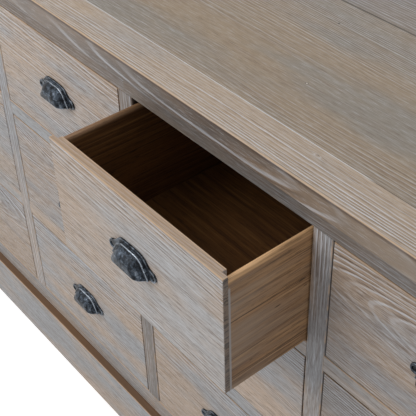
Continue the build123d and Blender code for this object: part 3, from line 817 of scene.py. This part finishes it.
def modelScrews():
    look = screwLook
    heads = []
    for hand in (-1, 1):
        x, z = hand * pullLook["earX"], pullLook["earZ"]
        bpy.ops.mesh.primitive_cylinder_add(vertices=24, radius=look["radius"], depth=look["depth"],
                                            rotation=(quarterTurn, 0, 0), location=(x, look["middle"], z))
        head = bpy.context.object
        settle(head)
        pick(head, "FACE", lambda centre, normal: normal.y < -0.9)
        bpy.ops.mesh.bevel(offset=look["rounded"], segments=3, affect="EDGES")
        bpy.ops.object.mode_set(mode="OBJECT")
        bpy.ops.mesh.primitive_cube_add(size=1, location=(x, look["slotMiddle"], z),
                                        rotation=(0, look["slotTurn"] + hand, 0))
        slot = bpy.context.object
        slot.scale = look["slot"]
        settle(slot)
        joinSolid(head, slot, "DIFFERENCE")
        heads.append(head)
    bpy.ops.object.select_all(action="DESELECT")
    for head in heads:
        head.select_set(True)
    bpy.context.view_layer.objects.active = heads[0]
    bpy.ops.object.join()
    bpy.ops.object.shade_smooth_by_angle(angle=math.radians(35))
    return heads[0]


def ironMaterial(name, shade):
    material, tree = startMaterial(name)
    # the attribute holds wear on proud points and painted highlights on the bead and shoulder
    proud = put(tree, "ShaderNodeAttribute", attribute_name="wearAndHighlight").outputs["Fac"]
    skin = put(tree, "ShaderNodeGroup", {"Vector": objectCoords(tree), "Wear And Highlight": proud}, node_tree=castGroup)
    color = mix(tree, 1.0, skin.outputs["Color"], (shade, shade, shade, 1), "MULTIPLY")
    finishWith(tree, skin, color, bumps["iron"], metallic=0.8)
    return material


# painted highlight: the bead and the shoulder of the cup are lightened where they face the light
wearHighlightLook = {"towardLight": Vector((0.45, -0.2, 0.87)), "beadReach": 3 * mm, "beadFade": 1.6 * mm, "frontFrom": -12 * mm,
           "tilt": 0.4, "tiltSpread": 0.16, "least": 0.35, "bead": 0.5, "shoulder": 0.24}


def markWearAndHighlight(obj, beadLine=()):  # how far each point stands proud of its surroundings, kept as a colour, with painted highlights on the bead and shoulder
    onlyActive(obj)
    bpy.ops.geometry.color_attribute_add(name="wearAndHighlight", domain="CORNER", data_type="FLOAT_COLOR", color=(1, 1, 1, 1))
    bpy.ops.object.mode_set(mode="VERTEX_PAINT")
    bpy.ops.paint.vertex_color_dirt(blur_strength=1.0, blur_iterations=2, clean_angle=math.pi, dirt_angle=0,
                                    normalize=True)
    bpy.ops.object.mode_set(mode="OBJECT")
    line = KDTree(len(beadLine))
    for index, place in enumerate(beadLine):
        line.insert(place, index)
    line.balance()
    mesh = obj.data
    for loop in mesh.loops if beadLine else ():  # painted highlight on the bead and the shoulder of the cup, strongest where they face the light
        point = mesh.vertices[loop.vertex_index]
        towardLight = max(0, point.normal.dot(wearHighlightLook["towardLight"]))
        nearBead = max(0, wearHighlightLook["beadReach"] - line.find(point.co)[2]) / wearHighlightLook["beadFade"]
        beadHighlight = min(1, nearBead) * towardLight
        inFront = point.co.y < wearHighlightLook["frontFrom"] and point.normal.y < 0
        shoulderHighlight = max(0, 1 - abs(point.normal.z - wearHighlightLook["tilt"]) / wearHighlightLook["tiltSpread"]) if inFront else 0
        wearAndHighlight = mesh.color_attributes["wearAndHighlight"].data[loop.index]
        shade = max(wearAndHighlight.color[0], wearHighlightLook["least"] + wearHighlightLook["bead"] * beadHighlight,
                    wearHighlightLook["least"] + wearHighlightLook["shoulder"] * shoulderHighlight)
        wearAndHighlight.color = (shade, shade, shade, 1)


bpy.ops.object.select_all(action="DESELECT")
pullModel, beadLine = modelPull()
screwModel = modelScrews()
markWearAndHighlight(pullModel, beadLine)
markWearAndHighlight(screwModel)
# the screw heads, sunk in their holes, are the same iron darkened to a quarter
irons = {"cupPull": ironMaterial("waxedIron", 1.0), "pullScrews": ironMaterial("darkenedIron", 0.25)}
for name in drawerNames:
    low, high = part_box(f"drawer_{name}_front")
    centre = Vector(((low.x + high.x) / 2, low.y, (low.z + high.z) / 2))
    for model, label in ((pullModel, "cupPull"), (screwModel, "pullScrews")):
        piece = model.copy()
        piece.data = model.data.copy()
        piece.name = f"{label}_{name}"
        bpy.context.collection.objects.link(piece)
        piece.location = centre
        settle(piece)
        setMaterial(piece, irons[label])
        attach(piece, f"drawer_{name}")
        if label == "cupPull":
            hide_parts(f"drawer_{name}_pull")
for model in (pullModel, screwModel):
    bpy.data.objects.remove(model)
print("pulls placed:", len(drawerNames))

# studio: pale floor, soft light from the front left, cool fill from the world
studioLook = {"floorSize": 14, "floor": (0.8, 0.8, 0.8, 1), "floorGlow": 0.6, "world": (0.92, 0.96, 1.0, 1),
              "worldStrength": 0.33, "white": (1, 1, 1, 1)}
lampLooks = {
    "keyLamp": {"place": (-1.5, -2.6, 2.7), "aim": (0.1, -0.2, 0.6), "size": 2.4, "power": 62,
                "color": (1.0, 0.98, 0.95)},
    "backLamp": {"place": (-0.6, 3.4, 0.8), "aim": (0, 0, 0.5), "size": 1.4, "power": 24,
                 "color": (1.0, 1.0, 1.0)},
    "topLamp": {"place": (-0.2, 0.8, 3.0), "aim": (0, 0, 0.8), "size": 2.0, "power": 16,
                "color": (0.97, 0.98, 1.0)},
}
cameraLook = {"place": (0.9237, -0.799, 1.492), "angles": (50.181, 1.522, 50.723), "lens": 82.05, "sensor": 36}


def seenRays(tree):  # rays that show a surface itself, straight, mirrored or through glass
    rays = put(tree, "ShaderNodeLightPath").outputs
    bent = calc(tree, "MAXIMUM", rays["Is Glossy Ray"], rays["Is Transmission Ray"])
    return calc(tree, "MAXIMUM", rays["Is Camera Ray"], bent)


bpy.ops.mesh.primitive_plane_add(size=studioLook["floorSize"])
floor = bpy.context.object
floor.name = "studioFloor"
floorMaterial, tree = startMaterial("paleFloor")
strength = times(tree, seenRays(tree), studioLook["floorGlow"])
matt = put(tree, "ShaderNodeBsdfDiffuse", {"Color": studioLook["floor"]}).outputs[0]
glow = put(tree, "ShaderNodeEmission", {"Color": studioLook["white"], "Strength": strength}).outputs[0]
both = put(tree, "ShaderNodeAddShader", {0: matt, 1: glow}).outputs[0]
tree.links.new(both, put(tree, "ShaderNodeOutputMaterial").inputs[0])
setMaterial(floor, floorMaterial)

world = bpy.data.worlds.new("studioWorld")
scene.world = world
world.use_nodes = True
tree = world.node_tree
tree.nodes.clear()
cool = {"Color": studioLook["world"], "Strength": studioLook["worldStrength"]}
fill = put(tree, "ShaderNodeBackground", cool).outputs[0]
white = put(tree, "ShaderNodeBackground", {"Color": studioLook["white"], "Strength": 1.0}).outputs[0]
shown = put(tree, "ShaderNodeMixShader", {0: seenRays(tree), 1: fill, 2: white}).outputs[0]
tree.links.new(shown, put(tree, "ShaderNodeOutputWorld").inputs[0])

for name, look in lampLooks.items():
    light = bpy.data.lights.new(name, "AREA")
    light.size = look["size"]
    light.energy = look["power"]
    light.color = look["color"]
    lamp = bpy.data.objects.new(name, light)
    bpy.context.collection.objects.link(lamp)
    lamp.location = look["place"]
    lamp.rotation_euler = (Vector(look["aim"]) - Vector(look["place"])).to_track_quat("-Z", "Y").to_euler()

cameraData = bpy.data.cameras.new("photoCamera")
cameraData.lens = cameraLook["lens"]
cameraData.sensor_width = cameraLook["sensor"]
cameraData.sensor_fit = "HORIZONTAL"
camera = bpy.data.objects.new("photoCamera", cameraData)
bpy.context.collection.objects.link(camera)
camera.location = cameraLook["place"]
camera.rotation_euler = [math.radians(angle) for angle in cameraLook["angles"]]
scene.camera = camera
print("studio set")
